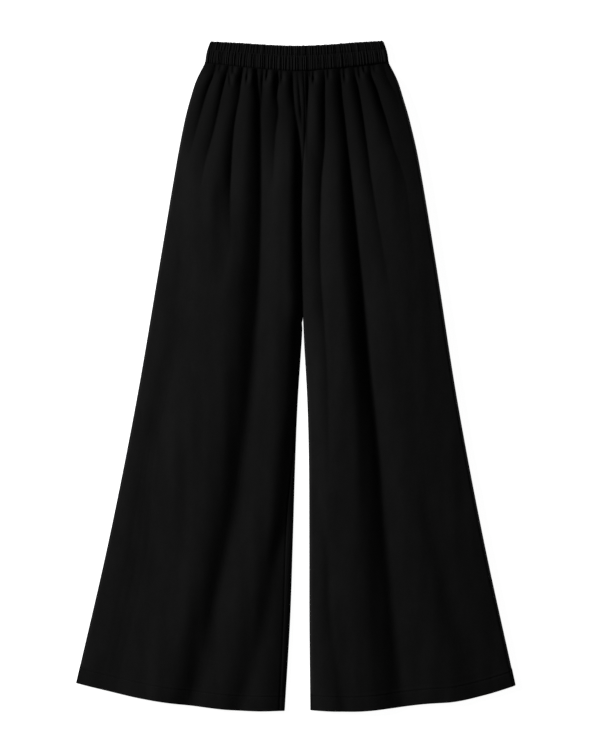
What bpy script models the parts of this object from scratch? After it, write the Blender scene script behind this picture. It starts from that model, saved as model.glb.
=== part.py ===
"""Palazzo trousers with a gathered elastic waistband, laid flat on a surface with the front up.

Blender 4.5, metres, +Z up. The back panels lie on the surface (z = 0), the front panels lie on
them, and the waist points to +Y. X runs from the wearer's right side (-X) to the left (+X).
The origin is at the middle of the garment's outline, on the surface it rests on.

Every sheet is a wall of cloth between two faces. Its outline comes from short tables that are
read like a tape measure: "down" is the distance below the top of the waistband. Tables are in
millimetres and MM turns them to metres.
"""

import math
from collections import namedtuple

import bpy

MM = 0.001

# Driving dimensions, in metres.
LENGTH = 1040 * MM          # top of the waistband to the lowest point of the hem
CLOTH = 1.5 * MM            # wall of one layer of jersey
SEAM_GAP = 0.3 * MM         # clearance between sewn pieces
HEM_DEPTH = 24 * MM         # turned-up hem, which doubles the wall
HEM_STEP = 2 * MM           # how far above the turn-up the wall is single again
WAIST_SEAM_DOWN = 47.4 * MM  # waist seam at the centre, below the waistband's top
CROTCH_DOWN = 430 * MM      # where the two legs part
FLAT_BELOW = 0.06 * MM      # cloth lifted less than this lies on the surface

# Waistband.
BAND_WALL = 3.2 * MM        # elastic in its casing, one side of the waistband
RIB_HEIGHT = 0.8 * MM       # gathered ribs of the casing
RIB_COUNT = 23              # ribs across one side of the waistband
BACK_BAND_RISE = 2.2 * MM   # the back edge stands this far above the front edge at the centre

# Folds.
SHOULDER = 0.16             # share of the loft that the cloth beside a fold stands higher by
PUCKER_SHARE = 0.6          # how deep the short gathers at the waist seam sink
PUCKER_HALF_WIDTH = 3.5 * MM
PUCKER_END = 70 * MM        # the short gathers have gone this far down
BACK_GATHER_COUNT = 12
BACK_GATHER_HALF_WIDTH = 7 * MM

# The turn of the right back panel over the inner edge of its leg.
TURN_ROOM = 3.8 * MM        # the flat part of the panel stops this far inside the edge
TURN_POINTS = 5             # points round the turn
CURL_LENGTH = 18 * MM       # the turn closes over this length below the crotch

# Mesh grid.
PANEL_COLUMNS = 24
CREASE_COLUMN = {"right": 12, "left": 15}  # the column that runs along a leg's main crease
BAND_COLUMNS = 2 * RIB_COUNT

BLACK_JERSEY = (0.0065, 0.0065, 0.007, 1.0)

# Outer edges of the legs, from the centre line out to each side seam.
SideRow = namedtuple("SideRow", "down right left")
SIDES = [
    SideRow(33, 140, 144),
    SideRow(61, 154, 158),
    SideRow(92, 164, 168),
    SideRow(123, 172, 177),
    SideRow(185, 184, 191),
    SideRow(340, 210, 217),
    SideRow(558, 247, 251),
    SideRow(775, 290, 292),
    SideRow(1000, 341.5, 341),
    SideRow(1045, 352, 350),
]

# The centre seam wanders a little, as laid.
CentreRow = namedtuple("CentreRow", "down x")
CENTRE_SEAM = [
    CentreRow(40, 12),
    CentreRow(138, 15),
    CentreRow(216, 10.5),
    CentreRow(330, 8.5),
    CentreRow(430, 11.4),
]

# Inner outline of each leg below the crotch.
InseamRow = namedtuple("InseamRow", "down right left")
INSEAMS = [
    InseamRow(430, 11.4, 11.4),
    InseamRow(465, 9.6, 13.0),
    InseamRow(558, 3.4, 18.0),
    InseamRow(651, -0.5, 20.5),
    InseamRow(775, -4.2, 21.1),
    InseamRow(899, -8.5, 21.3),
    InseamRow(1045, -17.2, 22.8),
]

# The right leg is rolled a little, so its back panel comes round the inner edge to the front.
RollRow = namedtuple("RollRow", "down width")
INSEAM_ROLL = [
    RollRow(430, 0.0),
    RollRow(448, 2.2),
    RollRow(620, 2.6),
    RollRow(740, 9.0),
    RollRow(880, 9.0),
    RollRow(1045, 6.0),
]

# Hem line, from the side seam (across 0) to the inseam (across 1).
HemRow = namedtuple("HemRow", "across right left")
HEMS = [
    HemRow(0.00, 996.5, 1000.0),
    HemRow(0.15, 1007.5, 1014.0),
    HemRow(0.30, 1018.0, 1024.5),
    HemRow(0.45, 1026.0, 1028.5),
    HemRow(0.60, 1032.0, 1034.5),
    HemRow(0.75, 1037.5, 1039.5),
    HemRow(0.88, 1039.7, 1040.0),
    HemRow(1.00, 1039.5, 1038.5),
]

# Waistband edges, from the wearer's right end (across 0) to the left end (across 1).
BandRow = namedtuple("BandRow", "across top bottom")
BAND = [
    BandRow(0.00, 1.2, 34.2),
    BandRow(0.17, 3.6, 40.0),
    BandRow(0.35, 7.0, 44.8),
    BandRow(0.50, 8.4, 47.4),
    BandRow(0.65, 7.0, 45.0),
    BandRow(0.83, 3.0, 39.8),
    BandRow(1.00, 0.0, 33.8),
]
BAND_TOP_ENDS = (-130 * MM, 136 * MM)
BAND_BOTTOM_ENDS = (-140 * MM, 144 * MM)

# How high the front cloth stands between its folds, how far in from the outline it reaches that
# height, and the most that the gathers of the back cloth lift it off the surface.
LoftRow = namedtuple("LoftRow", "down front edge back")
LOFT = [
    LoftRow(34, 2.0, 10, 0.9),
    LoftRow(50, 2.6, 12, 1.2),
    LoftRow(64, 7.2, 14, 3.2),
    LoftRow(90, 9.2, 18, 4.0),
    LoftRow(200, 8.2, 30, 3.6),
    LoftRow(330, 6.4, 40, 2.4),
    LoftRow(560, 4.2, 50, 1.2),
    LoftRow(780, 3.6, 60, 1.0),
    LoftRow(1045, 3.0, 60, 0.8),
]

# Folds of the front: x at five even stations from start to end, the half width and the share
# of the loft that the fold sinks by. Gathers start at the waistband.
GATHER_START = 34
FoldRow = namedtuple("FoldRow", "name start end x0 x1 x2 x3 x4 half_width share")
FRONT_FOLDS = [
    FoldRow("right_side_gather", GATHER_START, 130, -130, -138, -147, -155, -162, 6, 0.85),
    FoldRow("right_second_gather", GATHER_START, 215, -113, -121, -133, -144, -152, 6.5, 0.9),
    FoldRow("right_third_gather", GATHER_START, 310, -89, -97, -107, -114, -127, 7, 0.9),
    FoldRow("right_leg_crease", GATHER_START, 1060, -60, -68, -84, -125, -183, 9, 0.95),
    FoldRow("right_short_gather", GATHER_START, 175, -34, -34, -34, -36, -40, 6, 0.85),
    FoldRow("centre_crease", GATHER_START, 440, -12, -2, 3.5, 5, 9, 7, 0.95),
    FoldRow("centre_short_gather", GATHER_START, 115, 17, 17, 18, 19, 21, 5, 0.8),
    FoldRow("left_inner_gather", GATHER_START, 410, 39, 36, 30, 32, GATHER_START, 6.5, 0.85),
    FoldRow("left_leg_crease", GATHER_START, 1060, 63, 85, 106, 128, 145, 9, 0.95),
    FoldRow("left_third_gather", GATHER_START, 360, 88, 101, 113, 121, 131, 7, 0.9),
    FoldRow("left_second_gather", GATHER_START, 285, 111, 129, 146, 158, 173, 7, 0.85),
    FoldRow("left_side_gather", GATHER_START, 115, 134, 140, 146, 153, 160, 6, 0.8),
    FoldRow("right_hem_crease", 560, 1060, -3, -18, -42, -78, -122, 9, 0.85),
    FoldRow("right_outer_swell", 449, 960, -226, -236, -246, -272, -308, 22, 0.35),
    FoldRow("left_outer_swell", 560, 1050, 170, 193, 217, 242, 272, 24, 0.45),
    FoldRow("left_inner_swell", 740, 1050, 38, 40, 43, 46, 51, 14, 0.3),
]

# Long soft creases of the back panels, which lift them off the surface.
BACK_CREASES = [
    FoldRow("back_right_crease", 200, 1060, -92, -104, -120, -142, -170, 16, 0.6),
    FoldRow("back_right_inner", 480, 1060, -34, -44, -56, -70, -88, 14, 0.45),
    FoldRow("back_left_crease", 200, 1060, 100, 112, 128, 150, 176, 16, 0.6),
    FoldRow("back_left_inner", 480, 1060, 56, 62, 70, 82, 98, 14, 0.45),
]

# Rows of points down a panel, from the waist seam. The crotch and the hem fold have their own.
PANEL_ROWS = [row * MM for row in (0, 7, 17, 30, 52, 88, 138, 200, 285)]
BELOW_CROTCH = [row * MM for row in (0, 9, 18, 90, 190, 300, 410, 510)]
SEAM_TO_CROTCH = CROTCH_DOWN - WAIST_SEAM_DOWN


def clear_scene():
    """Removes whatever the file opened with."""
    for existing in list(bpy.data.objects):
        bpy.data.objects.remove(existing)


def read(rows, column, at):
    """Reads a column of a table, in metres, on a smooth curve through its rows.

    The first column is the place, in millimetres like `at * 1000`, unless the table is BAND or
    HEMS, whose places are shares of a width.
    """
    places = [row[0] for row in rows]
    values = [getattr(row, column) for row in rows]
    if at <= places[0]:
        return values[0] * MM
    if at >= places[-1]:
        return values[-1] * MM
    i = max(k for k, place in enumerate(places) if place <= at)
    span = places[i + 1] - places[i]
    share = (at - places[i]) / span

    def slope(k):
        low, high = max(k - 1, 0), min(k + 1, len(rows) - 1)
        return (values[high] - values[low]) / (places[high] - places[low])

    a, b = values[i], values[i + 1]
    cubic = (
        a * (1 + 2 * share) * (1 - share) ** 2
        + b * share**2 * (3 - 2 * share)
        + slope(i) * span * share * (1 - share) ** 2
        + slope(i + 1) * span * share**2 * (share - 1)
    )
    return cubic * MM


def smooth(share):
    """Eases 0..1 in and out, and holds the ends."""
    share = min(max(share, 0.0), 1.0)
    return share * share * (3 - 2 * share)


def fold_x(fold, down):
    """X of a fold's line at a distance below the waistband's top."""
    share = (down / MM - fold.start) / (fold.end - fold.start)
    stations = [CentreRow(k, value) for k, value in enumerate(fold[3:8])]
    return read(stations, "x", 4 * min(max(share, 0.0), 1.0))


def fold_strength(fold, down):
    """1 along a fold, easing to 0 at an end that lies inside the cloth."""
    length = fold.end - fold.start
    begins = smooth((down / MM - fold.start) / (0.25 * length))
    if fold.start == GATHER_START:
        begins = 1.0
    ends = smooth((fold.end - down / MM) / (0.45 * length))
    return begins * ends


def centre_or_inseam(leg, down):
    """X of a leg's inner outline: the centre seam, then the inseam below the crotch."""
    if down <= CROTCH_DOWN:
        return read(CENTRE_SEAM, "x", down / MM)
    return read(INSEAMS, leg, down / MM)


def side_edge(leg, down):
    """X of a leg's outer outline."""
    sign = -1 if leg == "right" else 1
    return sign * read(SIDES, leg, down / MM)


def edge_share(x, down):
    """0 at the outline of the cloth, 1 well inside it, along a quarter of a sine wave."""
    leg = "right" if x < centre_or_inseam("left", down) - 2 * SEAM_GAP else "left"
    width = read(LOFT, "edge", down / MM)
    from_side = abs(side_edge(leg, down) - x)
    share = math.sin(0.5 * math.pi * min(from_side / width, 1.0))
    parted = smooth((down - CROTCH_DOWN) / (60 * MM) + 0.5)
    from_inseam = abs(centre_or_inseam(leg, down) - x)
    inner = math.sin(0.5 * math.pi * min(from_inseam / (0.5 * width), 1.0))
    return share * (1 - parted * (1 - inner))


def puckers():
    """Short gathers at the waist seam, one half way between each two folds that start there."""
    starts = sorted(fold.x0 for fold in FRONT_FOLDS if fold.start == GATHER_START)
    return [0.5 * (a + b) * MM for a, b in zip(starts, starts[1:])]


def front_relief(x, down):
    """Height of the front cloth over its lowest level: the loft, less its folds."""
    loft = read(LOFT, "front", down / MM)
    left_standing, shoulders = 1.0, 0.0
    for fold in FRONT_FOLDS:
        strength = fold.share * fold_strength(fold, down)
        if strength <= 0 or down / MM < fold.start:
            continue
        offset = abs(x - fold_x(fold, down)) / (fold.half_width * MM)
        left_standing *= 1 - strength * math.exp(-(offset**2))
        shoulders += SHOULDER * strength * math.exp(-((offset - 1.9) ** 2))
    depth = PUCKER_SHARE * smooth((PUCKER_END - down) / (24 * MM))
    for pucker in puckers():
        offset = (x - pucker) / PUCKER_HALF_WIDTH
        left_standing *= 1 - depth * math.exp(-(offset**2))
    return loft * (left_standing + shoulders) * edge_share(x, down)


def back_gathers(x, down):
    """Gathers of the back panels: twelve, unevenly spaced and long, fanning out with the hips."""
    lift = 0.0
    for k in range(BACK_GATHER_COUNT):
        waist_x = (-124 + 23.0 * k + 3 * math.sin(2.3 * k)) * MM
        length = (120 + 130 * math.sin(1.7 * k + 0.6) ** 2) * MM
        fan = 1 + 0.45 * smooth((down - 40 * MM) / (260 * MM))
        offset = abs(x - waist_x * fan) / BACK_GATHER_HALF_WIDTH
        fade = smooth((47 * MM + length - down) / (0.8 * length))
        lift = max(lift, fade * math.exp(-(offset**2)))
    return lift


def back_ceiling(x, down):
    """Level that the back cloth never rises over, on which the front cloth stands."""
    return read(LOFT, "back", down / MM) * edge_share(x, down)


def back_lift(x, down):
    """Height of the back cloth over the surface it lies on."""
    held_by_seam = smooth((62 * MM - down) / (24 * MM))
    share = max(held_by_seam, smooth((down - 36 * MM) / (40 * MM)) * back_gathers(x, down))
    for fold in BACK_CREASES:
        strength = fold.share * fold_strength(fold, down) if down / MM > fold.start else 0.0
        offset = abs(x - fold_x(fold, down)) / (fold.half_width * MM)
        share = max(share, strength * math.exp(-(offset**2)))
    return max(share * back_ceiling(x, down) - FLAT_BELOW, 0.0)


def wall_over(height, x, down):
    """Upright thickness that gives a wall of CLOTH measured square to a sloping sheet."""
    step = 1 * MM
    along_x = (height(x + step, down) - height(x - step, down)) / (2 * step)
    along_y = (height(x, down + step) - height(x, down - step)) / (2 * step)
    return CLOTH * min(math.sqrt(1 + along_x**2 + along_y**2), 1.9)


def hem_layers(to_hem):
    """2 in the turned-up hem, 1 above it."""
    return 2.0 if to_hem < HEM_DEPTH + 0.5 * HEM_STEP else 1.0


def front_height(x, down):
    """Level of the front sheet over the back panels' edge level."""
    return back_ceiling(x, down) + front_relief(x, down)


def waist_seam_down(x):
    """Where the waist seam runs, from the waistband's lower edge."""
    low, high = BAND_BOTTOM_ENDS
    return read(BAND, "bottom", (x - low) / (high - low)) + SEAM_GAP


def column_x(leg, column, down, inner_x):
    """X of a panel's column. The columns bend so that one of them follows the main crease."""
    names = {fold.name: fold for fold in FRONT_FOLDS}
    crease_x = fold_x(names[f"{leg}_leg_crease"], down)
    crease_column = CREASE_COLUMN[leg]
    if column <= crease_column:
        share = column / crease_column
        return side_edge(leg, down) * (1 - share) + crease_x * share
    share = (column - crease_column) / (PANEL_COLUMNS - crease_column)
    return crease_x * (1 - share) + inner_x * share


def panel_grid(leg, inner_edge):
    """Points (x, down, distance to the hem) of a panel, row by row from the waist seam.

    A column keeps its share of the width from the side seam to `inner_edge(down)`.
    """
    below = [SEAM_TO_CROTCH + extra for extra in BELOW_CROTCH]
    hem_rows = [HEM_DEPTH + HEM_STEP, HEM_DEPTH, 0.0]
    long_side = LENGTH - WAIST_SEAM_DOWN
    rows = []
    for fall in PANEL_ROWS + below + [long_side - up for up in hem_rows]:
        row = []
        for column in range(PANEL_COLUMNS + 1):
            across = column / PANEL_COLUMNS
            hem = read(HEMS, leg, across)
            to_hem = long_side - fall
            down = hem - to_hem
            for _ in range(3):
                x = column_x(leg, column, down, inner_edge(down))
                seam = waist_seam_down(x)
                if to_hem > HEM_DEPTH + HEM_STEP:
                    down = seam + (hem - seam) * fall / long_side
            row.append((x, down, to_hem))
        rows.append(row)
    return rows


def mesh_object(name, vertices, faces, material):
    """Makes one node from points and faces, shaded smooth except at its rims."""
    mesh = bpy.data.meshes.new(name)
    mesh.from_pydata(vertices, [], faces)
    mesh.validate()
    mesh.shade_smooth()
    mesh.set_sharp_from_angle(angle=math.radians(50))
    mesh.materials.append(material)
    node = bpy.data.objects.new(name, mesh)
    bpy.context.scene.collection.objects.link(node)
    return node


def sheet_faces(row_count, column_count, flip):
    """Faces of a wall whose outer grid comes first and inner grid second, with its four rims."""
    inner = row_count * column_count

    def at(i, j):
        return i * column_count + j

    faces = []
    for i in range(row_count - 1):
        for j in range(column_count - 1):
            quad = (at(i, j), at(i + 1, j), at(i + 1, j + 1), at(i, j + 1))
            faces.append(quad)
            faces.append(tuple(inner + k for k in reversed(quad)))
    for j in range(column_count - 1):
        top = (at(0, j), at(0, j + 1), inner + at(0, j + 1), inner + at(0, j))
        last = row_count - 1
        low = (at(last, j + 1), at(last, j), inner + at(last, j), inner + at(last, j + 1))
        faces += [top, low]
    for i in range(row_count - 1):
        start = (at(i + 1, 0), at(i, 0), inner + at(i, 0), inner + at(i + 1, 0))
        last = column_count - 1
        end = (at(i, last), at(i + 1, last), inner + at(i + 1, last), inner + at(i, last))
        faces += [start, end]
    return [tuple(reversed(face)) for face in faces] if flip else faces


def to_y(down):
    """Y of a distance below the waistband's top."""
    return 0.5 * LENGTH - down


def front_leg(leg, material):
    """A front panel: side seam to centre seam and inseam, standing in folds on the back."""
    shy = -0.5 * SEAM_GAP if leg == "right" else 0.5 * SEAM_GAP

    def inner_edge(down):
        edge = centre_or_inseam(leg, down) + shy
        if leg == "right" and down > CROTCH_DOWN:
            edge -= read(INSEAM_ROLL, "width", down / MM) + SEAM_GAP
        return edge

    grid = panel_grid(leg, inner_edge)
    upper, lower = [], []
    for row in grid:
        for x, down, to_hem in row:
            layers = hem_layers(to_hem)
            bottom = layers * CLOTH + SEAM_GAP + front_height(x, down)
            top = bottom + layers * wall_over(front_height, x, down)
            upper.append((x, to_y(down), top))
            lower.append((x, to_y(down), bottom))
    faces = sheet_faces(len(grid), len(grid[0]), flip=leg == "left")
    return mesh_object(f"front_leg_{leg}", upper + lower, faces, material)


def rolled_section(down, start_x, to_hem):
    """Outer and inner points where the right leg's back panel turns over its inner edge.

    Above the crotch the cloth is flat. Just below it, the cloth curls up, and from there it
    goes half round and comes back along the top to meet the front panel.
    """
    steps = TURN_POINTS
    wall = hem_layers(to_hem) * CLOTH
    half_wall = 0.5 * wall
    bend = 0.5 * (wall + SEAM_GAP)
    past_crotch = (down - CROTCH_DOWN) / CURL_LENGTH
    curl = 0.0 if past_crotch < 0.2 else (0.5 if past_crotch < 0.8 else 1.0)
    edge = centre_or_inseam("right", down) - 0.5 * SEAM_GAP
    outer, inner = [], []
    if curl == 0.0:
        for k in range(1, steps + 1):
            x = start_x + (edge - start_x) * k / steps
            outer.append((x, to_y(down), 0.0))
            inner.append((x, to_y(down), wall))
        return outer, inner
    centre_x = edge - bend - half_wall
    for k in range(1, steps):
        angle = -0.5 * math.pi + math.pi * curl * k / (steps - 1)
        for points, radius in ((outer, bend + half_wall), (inner, bend - half_wall)):
            z = bend + half_wall + radius * math.sin(angle)
            points.append((centre_x + radius * math.cos(angle), to_y(down), z))
    if curl == 1.0:
        width = max(read(INSEAM_ROLL, "width", down / MM), bend + half_wall + 0.3 * MM)
        outer.append((edge - width, to_y(down), 2 * bend + wall))
        inner.append((edge - width, to_y(down), 2 * bend))
    else:
        outer.append((outer[-1][0], to_y(down), outer[-1][2] + 0.2 * MM))
        inner.append((inner[-1][0], to_y(down), inner[-1][2] + 0.2 * MM))
    return outer, inner


def back_leg(leg, material):
    """A back panel: flat on the surface, with gathers and soft creases that lift off it."""
    shy = -0.5 * SEAM_GAP if leg == "right" else 0.5 * SEAM_GAP
    turn_room = TURN_ROOM if leg == "right" else 0.0

    def inner_edge(down):
        return centre_or_inseam(leg, down) + shy - turn_room

    grid = panel_grid(leg, inner_edge)
    outer, inner = [], []
    for row in grid:
        for x, down, to_hem in row:
            lift = back_lift(x, down)
            wall = hem_layers(to_hem) * wall_over(back_lift, x, down)
            outer.append((x, to_y(down), lift))
            inner.append((x, to_y(down), lift + min(wall, CLOTH * hem_layers(to_hem) + 1.2 * MM)))
        if leg == "right":
            last_x, down, to_hem = row[-1]
            turned_outer, turned_inner = rolled_section(down, last_x, to_hem)
            outer += turned_outer
            inner += turned_inner
    columns = len(outer) // len(grid)
    faces = sheet_faces(len(grid), columns, flip=leg == "right")
    return mesh_object(f"back_leg_{leg}", outer + inner, faces, material)


def band_point(across, fall, rise):
    """X and Y on the waistband, from its top edge (fall 0) to its lower edge (fall 1)."""
    top = read(BAND, "top", across) - rise * math.sin(math.pi * across)
    bottom = read(BAND, "bottom", across)
    top_x = BAND_TOP_ENDS[0] * (1 - across) + BAND_TOP_ENDS[1] * across
    bottom_x = BAND_BOTTOM_ENDS[0] * (1 - across) + BAND_BOTTOM_ENDS[1] * across
    lean = fall**0.8
    x = top_x * (1 - lean) + bottom_x * lean
    return x, to_y(top * (1 - fall) + bottom * fall)


def waistband(name, material, front):
    """One side of the waistband: ribbed over its elastic, with a sewn line along the middle."""
    # fall: share of the band's height; swell: share of the wall's puffiness at that line.
    BandLine = namedtuple("BandLine", "fall swell")
    lines = [
        BandLine(0.0, 0.45),
        BandLine(0.05, 0.85),
        BandLine(0.22, 1.0),
        BandLine(0.39, 0.72),
        BandLine(0.55, 1.0),
        BandLine(0.92, 0.95),
        BandLine(1.0, 0.5),
    ]
    split = BAND_WALL + RIB_HEIGHT
    seat = split + SEAM_GAP if front else split
    direction = 1 if front else -1
    outer, inner = [], []
    for line in lines:
        for column in range(BAND_COLUMNS + 1):
            across = column / BAND_COLUMNS
            end_share = min(across, 1 - across) * RIB_COUNT
            rounding = 0.35 + 0.65 * math.sin(0.5 * math.pi * min(end_share, 1.0))
            rib = RIB_HEIGHT if column % 2 else 0.0
            swell = (BAND_WALL * line.swell + rib * min(line.swell, 1.0)) * rounding
            x, y = band_point(across, line.fall, 0.0 if front else BACK_BAND_RISE)
            outer.append((x, y, seat + direction * swell))
            inner.append((x, y, seat))
    faces = sheet_faces(len(lines), BAND_COLUMNS + 1, flip=not front)
    return mesh_object(name, outer + inner, faces, material)


def jersey_material():
    """Black matt jersey."""
    material = bpy.data.materials.new("black_jersey")
    material.use_nodes = True
    shader = material.node_tree.nodes["Principled BSDF"]
    shader.inputs["Base Color"].default_value = BLACK_JERSEY
    shader.inputs["Roughness"].default_value = 0.9
    shader.inputs["Metallic"].default_value = 0.0
    return material


def main():
    clear_scene()
    jersey = jersey_material()
    for leg in ("right", "left"):
        back_leg(leg, jersey)
        front_leg(leg, jersey)
    waistband("waistband_back", jersey, front=False)
    waistband("waistband_front", jersey, front=True)


main()
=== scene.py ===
"""Palazzo trousers in black jersey, laid flat with the front up: the finished cloth.

Six pieces of cloth stand for the six solids of the frame: two front legs, two back legs and the
two halves of the waistband. Each is a sheet of jersey on its solid's form, with its folds placed
one by one, its hem turned up and its stitches sewn on.

Lengths in the tables are in millimetres. "Down" is the distance below the top of the waistband,
as on a tape measure laid along the trousers, and "across" is a share of a width. Right and left
are the wearer's. MM turns a length to metres where it is written to a mesh.
"""

import logging
import math
from collections.abc import Callable, Sequence
from dataclasses import dataclass, field
from enum import Enum
from typing import NamedTuple

import bpy
import numpy as np
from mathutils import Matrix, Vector


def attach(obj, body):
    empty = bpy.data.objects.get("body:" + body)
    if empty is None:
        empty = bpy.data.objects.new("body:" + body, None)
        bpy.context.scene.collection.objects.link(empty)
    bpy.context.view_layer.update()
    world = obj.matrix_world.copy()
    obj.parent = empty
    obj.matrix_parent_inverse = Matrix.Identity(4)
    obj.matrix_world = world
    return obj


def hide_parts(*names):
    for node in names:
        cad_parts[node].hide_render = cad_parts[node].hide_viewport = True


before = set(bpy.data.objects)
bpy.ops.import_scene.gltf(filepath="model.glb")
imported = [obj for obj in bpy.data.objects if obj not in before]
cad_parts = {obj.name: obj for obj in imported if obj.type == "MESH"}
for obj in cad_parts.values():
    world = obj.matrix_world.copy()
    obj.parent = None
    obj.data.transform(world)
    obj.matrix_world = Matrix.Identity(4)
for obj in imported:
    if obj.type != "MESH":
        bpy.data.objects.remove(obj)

Array = np.ndarray
Steps = tuple[tuple[float, float], ...]
MM = 0.001
LOG = logging.getLogger("trousers")


class Side(Enum):
    """The wearer's side."""

    RIGHT = "right"
    LEFT = "left"


class Face(Enum):
    """Front or back of the trousers."""

    FRONT = "front"
    BACK = "back"


# ---- Reading tables ----


class Curve:
    """A smooth line through the rows of a short table."""

    def __init__(self, places: Sequence[float], values: Sequence[float]) -> None:
        """Works out the slope at each row.

        Args:
            places: where the rows are, in rising order.
            values: what the rows say there.
        """
        self.places = np.asarray(places, dtype=float)
        self.values = np.asarray(values, dtype=float)
        index = np.arange(len(self.places))
        high = np.minimum(index + 1, len(index) - 1)
        low = np.maximum(index - 1, 0)
        rise = self.values[high] - self.values[low]
        self.slopes = rise / (self.places[high] - self.places[low])

    def at(self, where: Array) -> Array:
        """Reads the line, held level before its first row and after its last.

        Args:
            where: places to read.

        Returns:
            The values there.
        """
        where = np.clip(where, self.places[0], self.places[-1])
        last = len(self.places) - 2
        k = np.clip(np.searchsorted(self.places, where, side="right") - 1, 0, last)
        span = self.places[k + 1] - self.places[k]
        share = (where - self.places[k]) / span
        rest = 1 - share
        return (
            self.values[k] * (1 + 2 * share) * rest**2
            + self.values[k + 1] * share**2 * (3 - 2 * share)
            + self.slopes[k] * span * share * rest**2
            - self.slopes[k + 1] * span * share**2 * rest
        )


def column_curve(rows: Sequence[NamedTuple], column: str) -> Curve:
    """Makes a curve of one column of a table, over its first column."""
    return Curve([row[0] for row in rows], [getattr(row, column) for row in rows])


def table(kind: type[NamedTuple], *rows: tuple[float, ...]) -> tuple[NamedTuple, ...]:
    """Makes a table of plain rows."""
    return tuple(kind(*row) for row in rows)


def smooth(share: Array) -> Array:
    """Eases 0..1 in and out, and holds the ends."""
    share = np.clip(share, 0.0, 1.0)
    return share * share * (3 - 2 * share)


def ramp(place: Array, span: tuple[float, float]) -> Array:
    """Eases from 0 to 1, from the span's first number on and over its second."""
    return smooth((place - span[0]) / span[1])


def bell(offset: Array) -> Array:
    """A round hump: 1 in the middle, about a third at an offset of 1."""
    return np.exp(-(offset**2))


def dip(offset: Array, size: tuple[float, float]) -> Array:
    """A round dent or ridge of a height and a half width."""
    return size[0] * bell(offset / size[1])


def mixed(low: Array, high: Array, share: Array) -> Array:
    """Goes from low, at a share of 0, to high, at 1."""
    return low * (1 - share) + high * share


def ripple(seed: int, count: int, across: Array, along: Array) -> Array:
    """Uneven waves that run lengthwise, from a sum of slanted sine waves.

    Args:
        seed: picks the waves.
        count: how many waves are added.
        across: place across, counted in wavelengths.
        along: place along, counted in wavelengths.

    Returns:
        A height of about -1 to 1.
    """
    draws = np.random.default_rng(seed)
    total = np.zeros(np.broadcast(across, along).shape)
    for _ in range(count):
        pitch, lean, shift = draws.uniform(0.6, 1.5), draws.normal(0, 0.8), draws.uniform(0, 1)
        total = total + np.sin(2 * math.pi * (pitch * across + lean * along + shift))
    return total / math.sqrt(count)


# ---- The outline, as in the frame ----


class LegRow(NamedTuple):
    """A row of an outline: the right leg's value and the left leg's."""

    at: float
    right: float
    left: float


class BandRow(NamedTuple):
    """A row of the waistband's edges."""

    across: float
    top: float
    bottom: float


class PlaceRow(NamedTuple):
    """A place down the trousers and one value there."""

    down: float
    value: float


@dataclass
class Outline:
    """Edges of the trousers: tables in millimetres, within 3 mm of the solids'."""

    length: float = 1040.0
    crotch: float = 430.0
    waist_seam: float = 47.4
    seam_gap: float = 0.3
    sides: tuple[LegRow, ...] = table(
        LegRow,
        (33, 140, 144), (61, 154, 158), (92, 164, 168), (123, 172, 177), (185, 184, 191),
        (340, 210, 217), (558, 247, 251), (775, 290, 292), (1000, 341.5, 341), (1045, 352, 350),
    )
    centre: tuple[PlaceRow, ...] = table(
        PlaceRow,
        (40, 12), (138, 15), (216, 10.5), (330, 8.5), (430, 11.4),
    )
    inseams: tuple[LegRow, ...] = table(
        LegRow,
        (430, 11.4, 11.4), (465, 9.6, 13), (558, 3.4, 18), (651, -0.5, 20.5), (775, -4.2, 21.1),
        (899, -8.5, 21.3), (1045, -17.2, 22.8),
    )
    hems: tuple[LegRow, ...] = table(
        LegRow,
        (0, 996.5, 1000), (0.15, 1007.5, 1014), (0.30, 1018, 1024.5), (0.45, 1026, 1028.5),
        (0.60, 1032, 1034.5), (0.75, 1037.5, 1039.5), (0.88, 1039.7, 1040), (1, 1039.5, 1038.5),
    )
    band: tuple[BandRow, ...] = table(
        BandRow,
        (0, 1.2, 34.2), (0.17, 3.6, 40), (0.35, 7, 44.8), (0.50, 8.4, 47.4), (0.65, 7, 45),
        (0.83, 3, 39.8), (1, 0, 33.8),
    )
    band_top_ends: tuple[float, float] = (-133.0, 136.5)
    band_bottom_ends: tuple[float, float] = (-140.0, 144.0)
    roll: tuple[PlaceRow, ...] = table(
        PlaceRow,
        (430, 0), (448, 2.2), (620, 2.6), (740, 10.2), (880, 10.4), (1045, 8.2),
    )

    def __post_init__(self) -> None:
        """Turns the tables to curves, once."""
        self.side_curves = {side: column_curve(self.sides, side.value) for side in Side}
        self.inseam_curves = {side: column_curve(self.inseams, side.value) for side in Side}
        self.hem_curves = {side: column_curve(self.hems, side.value) for side in Side}
        self.centre_curve = column_curve(self.centre, "value")
        self.roll_curve = column_curve(self.roll, "value")
        self.band_top = column_curve(self.band, "top")
        self.band_bottom = column_curve(self.band, "bottom")

    def side_x(self, side: Side, down: Array) -> Array:
        """X of a leg's outer edge."""
        sign = -1 if side is Side.RIGHT else 1
        return sign * self.side_curves[side].at(down)

    def inner_x(self, side: Side, down: Array) -> Array:
        """X of a leg's inner edge: the centre seam, then the inseam."""
        seam, inseam = self.centre_curve.at(down), self.inseam_curves[side].at(down)
        return np.where(down <= self.crotch, seam, inseam)

    def waist_down(self, x: Array) -> Array:
        """How far down the waist seam runs, just under the waistband's lower edge."""
        low, high = self.band_bottom_ends
        return self.band_bottom.at((x - low) / (high - low)) + self.seam_gap


# ---- Folds ----


class Crease(NamedTuple):
    """A place along a fold: the two edges of its slope, and how deep it is there."""

    down: float
    left: float
    right: float
    depth: float


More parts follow.
